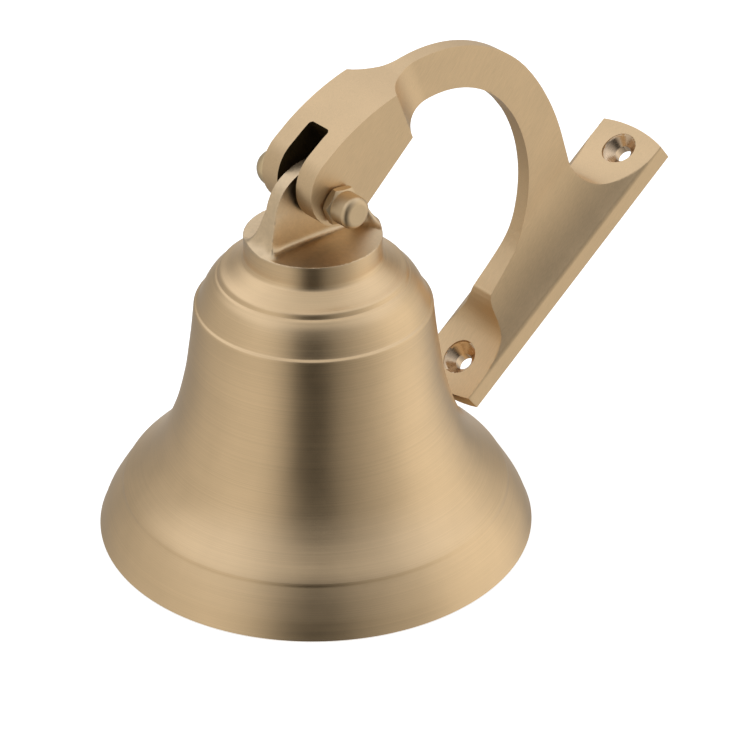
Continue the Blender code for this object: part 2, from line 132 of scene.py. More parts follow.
def contoured(field, low, high, step):
    """Points and quads of the surface where a field is zero, which keep its sharp edges sharp."""
    axes = [np.arange(a - 1.5 * step, b + 2.5 * step, step) for a, b in zip(low, high)]
    values = field(*np.meshgrid(*axes, indexing="ij"))
    shape = np.array(values.shape) - 1
    found = [(axis, *crossings(field, axes, values, axis)) for axis in range(3)]
    cells = []
    planes = []
    for axis, where, points, _ in found:
        others = [k for k in range(3) if k != axis]
        rows = np.concatenate([points, slopes(field, points, 0.02 * step)], axis=1)
        for i, j in ((0, 0), (-1, 0), (-1, -1), (0, -1)):
            cell = where.copy()
            cell[:, others[0]] += i
            cell[:, others[1]] += j
            cells.append(np.ravel_multi_index(tuple(cell.T), shape, mode="clip"))
            planes.append(rows)
    ids, number = np.unique(np.concatenate(cells), return_inverse=True)
    planes = np.concatenate(planes)

    def summed(weights):
        return np.bincount(number, weights=weights, minlength=len(ids))

    count = summed(np.ones(len(planes)))
    middle = np.stack([summed(planes[:, k]) / count for k in range(3)], axis=1)
    normal = planes[:, 3:]
    away = ((planes[:, :3] - middle[number]) * normal).sum(axis=1)
    right = np.stack([summed(normal[:, k] * away) for k in range(3)], axis=1)
    squares = np.empty((len(ids), 3, 3))
    for i in range(3):
        for j in range(3):
            squares[:, i, j] = summed(normal[:, i] * normal[:, j])
        squares[:, i, i] += PULL_TO_MIDDLE * count
    moved = middle + np.linalg.solve(squares, right[..., None])[..., 0]
    corner = np.stack(np.unravel_index(ids, shape), axis=1)
    base = np.array([a[0] for a in axes]) + corner * step
    points = np.clip(moved, base - 0.1 * step, base + 1.1 * step)
    quads = []
    edge = 0
    for axis, where, _, starts_inside in found:
        size = len(where)
        quad = np.stack([number[edge + k * size : edge + (k + 1) * size] for k in range(4)], axis=1)
        edge += 4 * size
        turn = starts_inside if axis != 1 else ~starts_inside
        quads.append(np.where(turn[:, None], quad, quad[:, ::-1]))
    return points, np.concatenate(quads)


def mesh_object(name, points, faces, place):
    """A smooth-shaded object from points in millimetres, which place takes to where the piece lies."""
    mesh = bpy.data.meshes.new(name)
    mesh.from_pydata((np.asarray(points) * MM).tolist(), [], [list(face) for face in faces])
    mesh.transform(place)
    mesh.update()
    mesh.shade_smooth()
    mesh.set_sharp_from_angle(angle=math.radians(40))
    piece = bpy.data.objects.new(name, mesh)
    bpy.context.collection.objects.link(piece)
    return piece


def field_piece(name, field, low, high, step, place):
    points, quads = contoured(field, low, high, step)
    return mesh_object(name, points, quads, place)


def lathe(profile, segments):
    """Points and faces of a profile of (radius, height) turned about the axis, its ends left open."""
    angles = np.arange(segments) * math.tau / segments
    rings = []
    points = []
    for radius, height in profile:
        if radius < 1e-6:
            rings.append([len(points)] * segments)
            points.append((0.0, 0.0, height))
            continue
        rings.append(list(range(len(points), len(points) + segments)))
        points += [(radius * math.cos(a), radius * math.sin(a), height) for a in angles]
    faces = []
    for upper, lower in zip(rings, rings[1:]):
        for i in range(segments):
            j = (i + 1) % segments
            face = [upper[i], lower[i], lower[j], upper[j]]
            faces.append([v for k, v in enumerate(face) if v != face[k - 1]])
    return points, faces


# Outlines


def arc(centre, radius, start, end, spacing=0.4):
    """Points along an arc, from angle start to angle end in degrees, about spacing apart."""
    steps = max(2, round(abs(math.radians(end - start)) * radius / spacing))
    angles = np.radians(np.linspace(start, end, steps + 1))
    return [(centre[0] + radius * math.cos(a), centre[1] + radius * math.sin(a)) for a in angles]


def smooth_line(points, spacing=0.8):
    """Points of a Catmull-Rom curve through the given ones, about spacing apart."""
    points = np.array(points, float)
    ends = np.concatenate([2 * points[:1] - points[1:2], points, 2 * points[-1:] - points[-2:-1]])
    curve = []
    for a, b, c, d in zip(ends, ends[1:], ends[2:], ends[3:]):
        steps = max(1, round(np.hypot(*(c - b)) / spacing))
        t = (np.arange(steps) / steps)[:, None]
        curve.append(
            b + 0.5 * t * (c - a) + t**2 * (a - 2.5 * b + 2 * c - 0.5 * d)
            + t**3 * (1.5 * (b - c) + 0.5 * (d - a))
        )
    return [tuple(p) for p in np.concatenate([*curve, points[-1:]])]


def outline_field(points, step=0.2, margin=3.0):
    """A field over (a, b) that is the distance to a closed outline, read from a fine table of it."""
    points = np.array(points)
    low = points.min(axis=0) - margin
    size = np.ceil((points.max(axis=0) + margin - low) / step).astype(int) + 1
    grid = np.stack(np.meshgrid(*(low[k] + step * np.arange(size[k]) for k in (0, 1)), indexing="ij"), -1)
    nearest = np.full(grid.shape[:2], 1e9)
    inside = np.zeros(grid.shape[:2], bool)
    for start, end in zip(points, np.roll(points, -1, axis=0)):
        along = end - start
        part = np.clip((grid - start) @ along / max(along @ along, 1e-12), 0, 1)
        nearest = np.minimum(nearest, ((grid - start - part[..., None] * along) ** 2).sum(axis=-1))
        if start[1] != end[1]:
            level = (start[1] > grid[..., 1]) != (end[1] > grid[..., 1])
            crossing = start[0] + (grid[..., 1] - start[1]) * along[0] / along[1]
            inside ^= level & (grid[..., 0] < crossing)
    table = np.where(inside, -1, 1) * np.sqrt(nearest)

    def field(a, b):
        where = [(value - low[k]) / step for k, value in enumerate((a, b))]
        cell = [np.clip(value.astype(int), 0, size[k] - 2) for k, value in enumerate(where)]
        s, t = (value - cell[k] for k, value in enumerate(where))
        i, j = cell
        near = table[i, j] * (1 - t) + table[i, j + 1] * t
        far = table[i + 1, j] * (1 - t) + table[i + 1, j + 1] * t
        return near * (1 - s) + far * s

    return field


# The wall bracket

PLATE_HALF = 12.5
PLATE_THICKNESS = 5.7
PLATE_TOP = 85.8
PLATE_BOTTOM = -13.5
PLATE_END_RADIUS = 45.0
PLATE_EDGE_RADIUS = 0.7
ARM_HALF = 2.4
SCOOP_RADIUS = 22.0
SCOOP_LIFT = 0.1
FORK_HALF = 10.75
SLOT_HALF = 4.05
SLOT_FLOOR = 13.8
SLOT_CORNER = 1.2
SLOT_STARTS_OUT = 60
SCREW_HOLES = (77.6, -2.4)
SCREW_HOLE_RADIUS = 2.6
COUNTERSINK_RADIUS = 5.4
COUNTERSINK_RIM = PLATE_THICKNESS - 0.2
COUNTERSINK_STEP = 0.25
FINISH_MARGIN = 0.02
BOLT_HOLE_RADIUS = 3.3
NECK_START = np.array((32.6, 107.0))
NECK_END = np.array((28.4, 92.1))
NECK_RADIUS = 15.0
FORK_TIP_OUT = 113.5


def bracket_outline():
    """The bracket from the side, as (up, out): plate, arched arm, fork and its round tip."""
    thick = PLATE_THICKNESS
    back = [(-16, 0), (88, 0), (88, thick)]
    upper_root = smooth_line(
        [
            (84.5, thick),
            (81.0, 5.75),
            (77.0, 6.1),
            (71.5, 7.2),
            (66.9, 8.8),
            (64.1, 10.5),
            (62.5, 12.4),
            (61.5, 14.6),
            (61.0, 17.4),
            (61.3, 21.8),
        ]
    )
    arm_flank = arc((-10.1, 59.7), 80.0, -20, 0)
    arm_crown = arc((22.1, 59.7), 47.8, 5, 62)
    fork_top = arc((5.6, 46.0), 67.2, 60, 86)
    fork_tip = arc((4.5, 101.6), 11.6, 90, 275)
    arch_upper = arc((25.7, 60.2), 32.0, 85, 0)
    arch_lower = arc((11.7, 60.2), 46.1, -4, -58)
    arch_foot = smooth_line([(33.8, 19.95), (30.8, 18.9), (25.0, 17.7), (20.0, 16.9), (17.2, 16.4)])
    prow = arc((17.0, 14.9), 1.5, 84, 140)
    lower_root = smooth_line(
        [
            (15.1, 15.2),
            (13.9, 13.6),
            (12.8, 11.8),
            (11.5, 10.0),
            (9.9, 8.5),
            (7.6, 7.4),
            (4.0, 6.6),
            (-1.0, 6.0),
            (-6.0, 5.75),
            (-9.0, thick),
        ]
    )
    front = [(-16, thick)]
    return (
        back + upper_root + arm_flank + arm_crown + fork_top + fork_tip
        + arch_upper + arch_lower + arch_foot + prow + lower_root + front
    )


def screw_hole_field(across, up, out, height):
    """A countersunk hole in the plate, whose rim is sunk a little below the plate's face."""
    away = np.hypot(across, up - height)
    cone_rim = COUNTERSINK_RADIUS - COUNTERSINK_STEP
    cone = (away - cone_rim - (out - COUNTERSINK_RIM)) * math.sqrt(0.5)
    seat = np.minimum(away - SCREW_HOLE_RADIUS, np.maximum(cone, out - COUNTERSINK_RIM))
    recess = np.maximum(away - COUNTERSINK_RADIUS, COUNTERSINK_RIM - out)
    return np.maximum(np.minimum(seat, recess), out - 2 * PLATE_THICKNESS)


def bracket_field():
    """The bracket's solid: its side outline, hollowed on both sides down to the arm's web."""
    side_view = outline_field(bracket_outline())
    line = (NECK_END - NECK_START) / np.hypot(*(NECK_END - NECK_START))
    scoop_middle = ARM_HALF + SCOOP_RADIUS
    scoop_rise = math.sqrt(SCOOP_RADIUS**2 - (scoop_middle - PLATE_HALF) ** 2)
    scoop_level = PLATE_THICKNESS + SCOOP_LIFT + scoop_rise
    neck_middle = ARM_HALF + NECK_RADIUS
    neck_reach = math.sqrt(NECK_RADIUS**2 - (neck_middle - FORK_HALF) ** 2)
    # Each end of the plate is rounded only where these say that it is near, away from the arm.
    uncut, high_end_from, low_end_to, low_end_depth = -9.0, 40, 10, 50

    def field(across, up, out):
        off = np.abs(across)
        low_scoop = np.hypot(off - scoop_middle, out - scoop_level) - SCOOP_RADIUS
        scoop = np.where(out < scoop_level, low_scoop, ARM_HALF - off)
        past_neck = (up - NECK_START[0]) * -line[1] + (out - NECK_START[1]) * line[0]
        hollow = np.hypot(off - neck_middle, past_neck - neck_reach) - NECK_RADIUS
        neck = np.where(past_neck < neck_reach, hollow, ARM_HALF - off)
        beside = np.maximum(scoop, np.minimum(neck, FORK_HALF - off))
        side = round_max(off - PLATE_HALF, -beside, PLATE_EDGE_RADIUS)
        solid = np.maximum(side_view(up, out), side)
        high_end = np.hypot(across, up - (PLATE_TOP - PLATE_END_RADIUS)) - PLATE_END_RADIUS
        low_end = np.hypot(across, up - (PLATE_BOTTOM + PLATE_END_RADIUS)) - PLATE_END_RADIUS
        high_end = np.where(up > high_end_from, high_end, uncut)
        low_end = np.where((up < low_end_to) & (out < low_end_depth), low_end, uncut)
        solid = np.maximum(solid, np.maximum(high_end, low_end))
        slot = round_max(off - SLOT_HALF, up - SLOT_FLOOR, SLOT_CORNER)
        solid = np.maximum(solid, -np.maximum(slot, SLOT_STARTS_OUT - out))
        solid = np.maximum(solid, BOLT_HOLE_RADIUS - np.hypot(up, out - WALL_TO_PIN))
        for height in SCREW_HOLES:
            solid = np.maximum(solid, -screw_hole_field(across, up, out, height))
        return solid

    return field


def bracket_finish_or_slot_shade(across, up, out):
    """Which finish a spot on the bracket has: 0 brushed outside, 1 machined hole, 2 the slot's inside,
    which gets painted shade.
    """
    for height in SCREW_HOLES:
        near = math.hypot(across, up - height) < COUNTERSINK_RADIUS + FINISH_MARGIN
        if near and FINISH_MARGIN < out < COUNTERSINK_RIM + FINISH_MARGIN:
            return 1
    # Faces inside the fork's slot get a near-black colour: painted shade for the dark inside of the slot.
    slot = round_max(abs(across) - SLOT_HALF, up - SLOT_FLOOR, SLOT_CORNER)
    return 2 if slot < FINISH_MARGIN and out > SLOT_STARTS_OUT else 0


def make_bracket():
    step = 0.45
    low, high = (-PLATE_HALF, PLATE_BOTTOM, 0), (PLATE_HALF, PLATE_TOP, FORK_TIP_OUT)
    points, quads = contoured(bracket_field(), low, high, step)
    piece = mesh_object("bracket_casting", points, quads, ON_BRACKET)
    middles = points[quads].mean(axis=1)
    for face, middle in zip(piece.data.polygons, middles):
        face.material_index = bracket_finish_or_slot_shade(*middle)
    return piece


# The bell

BOSS_RADIUS = 19.5
BOSS_TOP = 93.85
SEAM_HEIGHT = 90.4
PIN_HEIGHT = PIN.z / MM
LUG_HALF = 2.15
LUG_TOP_CENTRE = 100.1
LUG_TOP_RADIUS = 16.6
LUG_FLANK_ANGLE = 19.6
LUG_FOOT_RADIUS = 9.0
# Below the taper's top the lug's ends thicken towards the boss, and their fillets are larger
LUG_TAPER_TOP = 105.6
LUG_TAPER = 0.05
LUG_FLOWING_TAPER = 0.26
LUG_FILLET = 2.2
LUG_END_FILLET = 1.5
LUG_FLOWING_FILLET = 3.0
LUG_END_DEPTH = 4.0
CROWN_UNDERSIDE = 80.0
CROWN_HOLE_RADIUS = 3.3
CROWN_HOLE_TOP = 91.0


def bell_outside():
    """The bell's outer side, down from the seam on its boss to the edge of its mouth."""
    boss_side = [(BOSS_RADIUS, SEAM_HEIGHT), (BOSS_RADIUS, 89.6)]
    boss_foot = arc((21.7, 88.4), 2.2, 180, 236, 0.25)
    crown = smooth_line([(21.2, 86.15), (22.6, 85.2), (24.3, 84.15), (26.2, 83.3)], 0.5)
    riser = [(26.55, 83.0), (26.75, 82.4), (26.85, 81.9)]
    ledge = [(27.05, 81.7), (27.4, 81.62)]
    shoulder = smooth_line([(27.6, 81.5), (29.3, 79.8), (30.7, 77.6), (31.8, 75.3), (32.9, 72.95)], 0.5)
    step = [(33.05, 72.72), (33.35, 72.58), (33.7, 72.45), (33.9, 72.2)]
    waist = smooth_line(
        [
            (33.95, 71.9),
            (34.3, 68.6),
            (34.9, 63.5),
            (35.8, 57.2),
            (36.8, 50.8),
            (38.2, 44.5),
            (39.95, 38.1),
            (42.3, 31.9),
            (44.6, 27.3),
            (47.7, 22.9),
            (51.2, 19.05),
            (54.4, 15.9),
            (55.9, 14.3),
        ]
    )
    groove = [(56.15, 13.95), (56.2, 13.6), (56.35, 13.25)]
    lip = smooth_line([(56.6, 12.9), (58.3, 10.4), (60.1, 7.5), (61.7, 4.6), (63.25, 0.55)])
    edge = [(63.42, 0.25), (63.42, 0.08), (63.3, 0.0)]
    return boss_side + boss_foot + crown + riser + ledge + shoulder + step + waist + groove + lip + edge


def bell_inside():
    """Across the flat mouth, up the inside, and into the blind hole for the eye bolt."""
    land = [(61.0, 0.0), (58.7, 0.0), (58.45, 0.15)]
    wall = smooth_line(
        [
            (58.3, 0.5),
            (55.4, 5.0),
            (51.0, 12.4),
            (46.2, 19.3),
            (40.5, 26.8),
            (36.6, 36.0),
            (33.4, 50.0),
            (31.0, 63.0),
            (28.9, 72.0),
            (26.6, 76.2),
            (22.6, 78.9),
            (16.0, CROWN_UNDERSIDE),
        ],
        1.2,
    )
    crown = [(10.0, CROWN_UNDERSIDE), (6.0, CROWN_UNDERSIDE)]
    hole_edge = [(CROWN_HOLE_RADIUS + 0.3, CROWN_UNDERSIDE), (CROWN_HOLE_RADIUS, CROWN_UNDERSIDE + 0.3)]
    hole = [(CROWN_HOLE_RADIUS, 85.0), (CROWN_HOLE_RADIUS, CROWN_HOLE_TOP), (0.0, CROWN_HOLE_TOP + 0.8)]
    return land + wall + crown + hole_edge + hole


def lug_field():
    """The top of the boss with the lug on it, whose flanks flow into the boss's side."""
    slope = math.radians(LUG_FLANK_ANGLE)

    def field(x, y, z):
        radius = np.hypot(x, y)
        off = np.abs(y)
        height = z - LUG_TOP_CENTRE
        flank = off * math.cos(slope) + height * math.sin(slope) - LUG_TOP_RADIUS
        rounded = np.hypot(off, height) - LUG_TOP_RADIUS
        outline = np.where(off * math.sin(slope) < height * math.cos(slope), rounded, flank)
        outline = round_max(outline, off - BOSS_RADIUS - 0.1, LUG_FOOT_RADIUS)
        # Each of the lug's ends is crisp on one side, and flows into the boss on the other.
        inward = np.maximum(-outline, 0)
        near_end = np.exp(-((inward / LUG_END_DEPTH) ** 2))
        flowing = 0.5 + 0.5 * np.tanh(x * np.sign(y) / 1.5)
        taper = LUG_TAPER + LUG_FLOWING_TAPER * flowing
        plate = np.abs(x) - LUG_HALF - taper * np.maximum(LUG_TAPER_TOP - z, 0) * near_end
        wall = np.maximum(radius - BOSS_RADIUS, plate * 0.95)
        lug = round_max(wall, outline, 0.15)
        boss = round_max(radius - BOSS_RADIUS, z - BOSS_TOP, 0.3)
        reach = LUG_FILLET + (LUG_END_FILLET + LUG_FLOWING_FILLET * flowing) * near_end
        blend = np.maximum(reach - np.abs(lug - boss), 0)
        joined = np.minimum(lug, boss) - blend**2 / (4 * reach)
        joined = np.maximum(joined, radius - BOSS_RADIUS)
        joined = np.maximum(joined, BOLT_HOLE_RADIUS - np.hypot(y, z - PIN_HEIGHT))
        return np.maximum(joined, SEAM_HEIGHT - 1.5 - z)

    return field


def bell_finish(middle, normal):
    """Which finish a face of the bell has: 0 turned outside, 1 inside, 2 lug and boss top."""
    from_axis = middle.xy - BELL_AXIS.xy
    away = math.hypot(middle.x, middle.y - BELL_AXIS.y) / MM
    wall = normal.xy.dot(from_axis) < 0 and middle.z < (CROWN_UNDERSIDE + 0.5) * MM
    near_crown = (CROWN_UNDERSIDE - 10) * MM < middle.z < CROWN_HOLE_TOP * MM
    crown = normal.z < -0.5 and away < 27 and near_crown
    bore = away < CROWN_HOLE_RADIUS + 0.1 and middle.z < (CROWN_HOLE_TOP + 1) * MM
    if wall or crown or bore:
        return 1
    return 2 if middle.z > (BOSS_TOP - 0.3) * MM else 0


def make_bell():
    """The bell in one mesh: the turned shell, and the boss's top with the lug bridged to it."""
    segments = 288
    step = 0.3
    low = (-BOSS_RADIUS, -BOSS_RADIUS, SEAM_HEIGHT - 1.5)
    high = (BOSS_RADIUS, BOSS_RADIUS, LUG_TOP_CENTRE + LUG_TOP_RADIUS)
    points, faces = contoured(lug_field(), low, high, step)
    top = bmesh.new()
    corners = [top.verts.new(p) for p in points]
    for face in faces:
        top.faces.new([corners[i] for i in face])
    above = SEAM_HEIGHT + 0.8
    geometry = top.verts[:] + top.edges[:] + top.faces[:]
    bmesh.ops.bisect_plane(
        top, geom=geometry, plane_co=(0, 0, above), plane_no=(0, 0, 1), clear_inner=True, dist=0.01
    )
    points, faces = lathe(bell_outside() + bell_inside(), segments)
    corners = [top.verts.new(p) for p in points]
    for face in faces:
        top.faces.new([corners[i] for i in face])
    rims = [edge for edge in top.edges if edge.is_boundary]
    bmesh.ops.bridge_loops(top, edges=rims)
    bmesh.ops.scale(top, vec=(MM, MM, MM), verts=top.verts)
    bmesh.ops.transform(top, matrix=ON_BELL_AXIS, verts=top.verts)
    bmesh.ops.recalc_face_normals(top, faces=top.faces)
    mesh = bpy.data.meshes.new("bell_casting")
    top.to_mesh(mesh)
    top.free()
    mesh.shade_smooth()
    mesh.set_sharp_from_angle(angle=math.radians(38))
    piece = bpy.data.objects.new("bell_casting", mesh)
    bpy.context.collection.objects.link(piece)
    for face in mesh.polygons:
        face.material_index = bell_finish(face.center, face.normal)
    return piece


# The pivot bolt, its cap nut, and the clapper

FINE = 0.2
CHEEK = FORK_HALF + 0.3
CAP_NUT_COLLAR = CHEEK + 2.5
CAP_NUT_END = CHEEK + 8.7
CAP_NUT_BARREL = 4.7
CAP_NUT_SHOULDER = 1.9
CAP_NUT_FLATS = 10.0
CAP_NUT_BORE_END = 16.8
CAP_NUT_CORNER = 135.3
BOLT_HEAD_RADIUS = 5.4
BOLT_HEAD_DOME_FOOT = 5.2
BOLT_RADIUS = 3.0

EYE_CENTRE = 68.5
EYE_RADIUS = 5.0
EYE_WIRE = 1.6
LINK_RADIUS = 6.0
LINK_WIRE = 1.3
LINK_CENTRE = EYE_CENTRE - EYE_RADIUS + EYE_WIRE + 0.35 + LINK_WIRE - LINK_RADIUS
ROD_EYE_RADIUS = 4.6
ROD_EYE_WIRE = 1.5
ROD_EYE_CENTRE = LINK_CENTRE - LINK_RADIUS + LINK_WIRE + 0.35 + ROD_EYE_WIRE - ROD_EYE_RADIUS
ROD_RADIUS = 2.5
BALL_CENTRE = 20.5
BALL_RADIUS = 9.5
TAIL_EYE_RADIUS = 2.7
TAIL_EYE_WIRE = 1.0
TAIL_EYE_CENTRE = BALL_CENTRE - BALL_RADIUS - TAIL_EYE_RADIUS - 1.4
TAIL_SHANK_RADIUS = 1.5
# Each lock nut's width across flats, its lower and upper face, and the radius of its hole
EYE_BOLT_NUT = (10.0, 76.1, 79.7, 3.3)
ROD_NUT = (8.0, 30.0, 33.2, 2.8)


def ring_field(along, across, up, radius, wire):
    """A wire ring in the plane of along and up."""
    return np.hypot(np.hypot(along, up) - radius, across) - wire


def shank_field(x, y, z, radius, low, high, thread_low=0.0, thread_high=0.0):
    """A round bar about Z with chamfered ends, and a fine thread over a stretch of it."""
    away = np.hypot(x, y)
    turn = np.arctan2(y, x) / math.tau
    ridge = np.abs((z / 0.9 - turn) % 1.0 - 0.5) * 2
    fade = np.clip(np.minimum(z - thread_low, thread_high - z) / 0.5, 0, 1)
    side = (away - radius + 0.45 * ridge * fade) * 0.85
    ends = np.maximum(low - z, z - high)
    return round_max(side, ends, 0.5)


def hexagon_field(x, y, across_flats, corner):
    """A hexagonal bar about Z, one of whose corners is at the angle corner, in degrees."""
    flats = [math.radians(corner + 30 + 60 * k) for k in range(6)]
    return np.max([x * math.cos(a) + y * math.sin(a) for a in flats], axis=0) - across_flats / 2


def nut_field(x, y, z, across_flats, low, high, corner=0.0):
    """A hexagonal nut's outside, with its corners chamfered at both ends."""
    away = np.hypot(x, y)
    middle, half = (low + high) / 2, (high - low) / 2
    level = np.abs(z - middle) - half
    chamfer = (level + (away - 0.48 * across_flats) * math.tan(math.radians(30))) * 0.866
    return np.maximum(np.maximum(hexagon_field(x, y, across_flats, corner), level), chamfer)


def make_pivot_bolt():
    """A bolt with a tall domed head on the -X side, whose end stops inside the cap nut."""
    foot = -CHEEK
    dome_foot = foot - BOLT_HEAD_DOME_FOOT
    radius = BOLT_HEAD_RADIUS
    dome = [(radius * a, dome_foot + radius * b) for a, b in arc((0, 0), 1, -90, 0, 0.04)]
    tip = CAP_NUT_BORE_END - 0.3
    head_edge = [(radius, foot - 0.4), (radius - 0.12, foot - 0.12), (radius - 0.4, foot)]
    shank = [(BOLT_RADIUS, foot), (BOLT_RADIUS, tip - 0.7), (BOLT_RADIUS - 0.7, tip), (0, tip)]
    points, faces = lathe([(0.0, dome[0][1]), *dome[1:], *head_edge, *shank], 72)
    faces = [face[::-1] for face in faces]
    return mesh_object("pivot_bolt_domed", points, faces, ON_BOLT)


def make_cap_nut():
    """A low cap nut: a short hexagon, then a barrel with a rounded shoulder and a flat end."""

    def field(x, y, z):
        away = np.hypot(x, y)
        hexagon = nut_field(x, y, z, CAP_NUT_FLATS, CHEEK, CAP_NUT_COLLAR, CAP_NUT_CORNER)
        barrel = round_max(away - CAP_NUT_BARREL, z - CAP_NUT_END, CAP_NUT_SHOULDER)
        barrel = np.maximum(barrel, CHEEK + 0.2 - z)
        bore = np.maximum(away - BOLT_HOLE_RADIUS, z - CAP_NUT_BORE_END)
        return np.maximum(round_min(hexagon, barrel, 0.12), -bore)

    low, high = (-6, -6, CHEEK), (6, 6, CAP_NUT_END)
    return field_piece("cap_nut_turned", field, low, high, FINE, ON_BOLT)


def make_eye_bolt():
    low = EYE_CENTRE + EYE_RADIUS - 0.6

    def field(x, y, z):
        eye = ring_field(x, y, z - EYE_CENTRE, EYE_RADIUS, EYE_WIRE)
        high = CROWN_HOLE_TOP - 0.5
        shank = shank_field(x, y, z, BOLT_RADIUS, low, high, low + 1.5, CROWN_HOLE_TOP)
        return round_min(eye, shank, 0.9)

    return field_piece("eye_bolt", field, (-6.7, -3.1, 61.8), (6.7, 3.1, 90.6), FINE, ON_BELL_AXIS)


def make_nut(name, across_flats, low, high, bore):
    def field(x, y, z):
        return np.maximum(nut_field(x, y, z, across_flats, low, high), bore - np.hypot(x, y))

    reach = across_flats * 0.6
    return field_piece(name, field, (-reach, -reach, low), (reach, reach, high), FINE, ON_BELL_AXIS)


def make_link():
    def field(x, y, z):
        return ring_field(y, x, z - LINK_CENTRE, LINK_RADIUS, LINK_WIRE)

    low, high = (-1.4, -7.4, LINK_CENTRE - 7.4), (1.4, 7.4, LINK_CENTRE + 7.4)
    return field_piece("link_ring", field, low, high, FINE, ON_BELL_AXIS)


def make_rod():
    top = ROD_EYE_CENTRE - ROD_EYE_RADIUS + 0.6

    def field(x, y, z):
        eye = ring_field(x, y, z - ROD_EYE_CENTRE, ROD_EYE_RADIUS, ROD_EYE_WIRE)
        shank = shank_field(x, y, z, ROD_RADIUS, BALL_CENTRE + 1.0, top, BALL_CENTRE, 36.5)
        shank = np.maximum(shank, (np.hypot(x, y) - 1.5 + (z - top) * 0.5) * 0.9)
        return round_min(eye, shank, 1.2)

    low, high = (-6.2, -2.6, BALL_CENTRE + 1), (6.2, 2.6, ROD_EYE_CENTRE + 6.2)
    return field_piece("clapper_stem", field, low, high, FINE, ON_BELL_AXIS)


def make_ball():
    """The ball, with a tapped hole for the rod above and one for the lanyard eye below."""
    top_hole = ROD_RADIUS + 0.3
    low_hole = TAIL_SHANK_RADIUS + 0.3
    top = math.degrees(math.acos(top_hole / BALL_RADIUS))
    bottom = math.degrees(math.acos(low_hole / BALL_RADIUS))
    surface = arc((0, BALL_CENTRE), BALL_RADIUS, top, -bottom, 0.35)
    well, pit = BALL_CENTRE + 0.5, BALL_CENTRE - 2.5
    profile = [(0, well), (top_hole, well), *surface, (low_hole, pit), (0, pit)]
    points, faces = lathe(profile, 96)
    return mesh_object("clapper_bob", points, faces, ON_BELL_AXIS)


def make_lanyard_eye():
    low = TAIL_EYE_CENTRE + TAIL_EYE_RADIUS - 0.3

    def field(x, y, z):
        eye = ring_field(y, x, z - TAIL_EYE_CENTRE, TAIL_EYE_RADIUS, TAIL_EYE_WIRE)
        shank = shank_field(x, y, z, TAIL_SHANK_RADIUS, low, BALL_CENTRE - 3.0)
        return round_min(eye, shank, 0.8)

    corner_low, corner_high = (-1.6, -3.8, TAIL_EYE_CENTRE - 3.8), (1.6, 3.8, BALL_CENTRE - 2.9)
    return field_piece("tail_eye", field, corner_low, corner_high, FINE, ON_BELL_AXIS)


# Materials


COARSE_SCALE = 14.0
CLOUD_SCALE = 55.0
BUMP_HEIGHT = 0.0002
BRUSH_SLANT = 0.18


def feed(tree, socket, value):
    """Link a socket to a value that comes from a node, or set it to a constant."""
    if isinstance(value, bpy.types.NodeSocket):
        tree.links.new(value, socket)
    else:
        socket.default_value = value


class Nodes:
    """A material's nodes, made and linked one at a time."""

    def __init__(self, name):
        self.material = bpy.data.materials.new(name)
        self.material.use_nodes = True
        self.tree = self.material.node_tree
        self.shader = self.tree.nodes["Principled BSDF"]
        self.place = self.add("ShaderNodeTexCoord").outputs["Object"]

    def add(self, kind, settings=None, **inputs):
        node = self.tree.nodes.new(kind)
        for key, value in (settings or {}).items():
            setattr(node, key, value)
        for key, value in inputs.items():
            self.feed(node.inputs[key], value)
        return node

    def feed(self, socket, value):
        feed(self.tree, socket, value)

    def maths(self, operation, *values):
        node = self.add("ShaderNodeMath", {"operation": operation})
        for socket, value in zip(node.inputs, values):
            self.feed(socket, value)
        return node.outputs[0]

    def vector(self, operation, *values):
        node = self.add("ShaderNodeVectorMath", {"operation": operation})
        for socket, value in zip(node.inputs, values):
            self.feed(socket, value)
        return node

    def noise(self, place, scale, detail=2.0, rough=0.5):
        node = self.add("ShaderNodeTexNoise", Vector=place, Scale=scale, Detail=detail, Roughness=rough)
        return node.outputs[0]

    def spread(self, value, low, high, start=0.3, end=0.7):
        """The value, from start to end, drawn out to run from low to high."""
        node = self.add("ShaderNodeMapRange", Value=value)
        for key, number in (("From Min", start), ("From Max", end), ("To Min", low), ("To Max", high)):
            node.inputs[key].default_value = number
        return node.outputs[0]

    def stretched(self, centre, axes, scales):
        """A place measured along three axes from a centre, each scaled by its own amount."""
        from_centre = self.vector("SUBTRACT", self.place, tuple(centre)).outputs[0]
        joined = self.add("ShaderNodeCombineXYZ")
        for socket, axis, scale in zip(joined.inputs, axes, scales):
            along = self.vector("DOT_PRODUCT", from_centre, tuple(Vector(axis) * scale)).outputs["Value"]
            self.tree.links.new(along, socket)
        return joined.outputs[0]

    def turned(self, centre, axis, fine):
        """A place for lines that run round an axis: coarse across it, fine along a turned profile."""
        from_centre = self.vector("SUBTRACT", self.place, tuple(centre)).outputs[0]
        axis = Vector(axis)
        height = self.vector("DOT_PRODUCT", from_centre, tuple(axis)).outputs["Value"]
        flat = self.vector("MULTIPLY", from_centre, tuple(Vector((1, 1, 1)) - axis)).outputs[0]
        away = self.vector("LENGTH", flat).outputs["Value"]
        along = self.maths("MULTIPLY", self.maths("SUBTRACT", away, height), fine)
        coarse = self.vector("SCALE", flat)
        coarse.inputs["Scale"].default_value = COARSE_SCALE
        pushed = self.add("ShaderNodeCombineXYZ")
        self.tree.links.new(along, pushed.inputs[2 if axis.z else 0])
        return self.vector("ADD", coarse.outputs[0], pushed.outputs[0]).outputs[0]


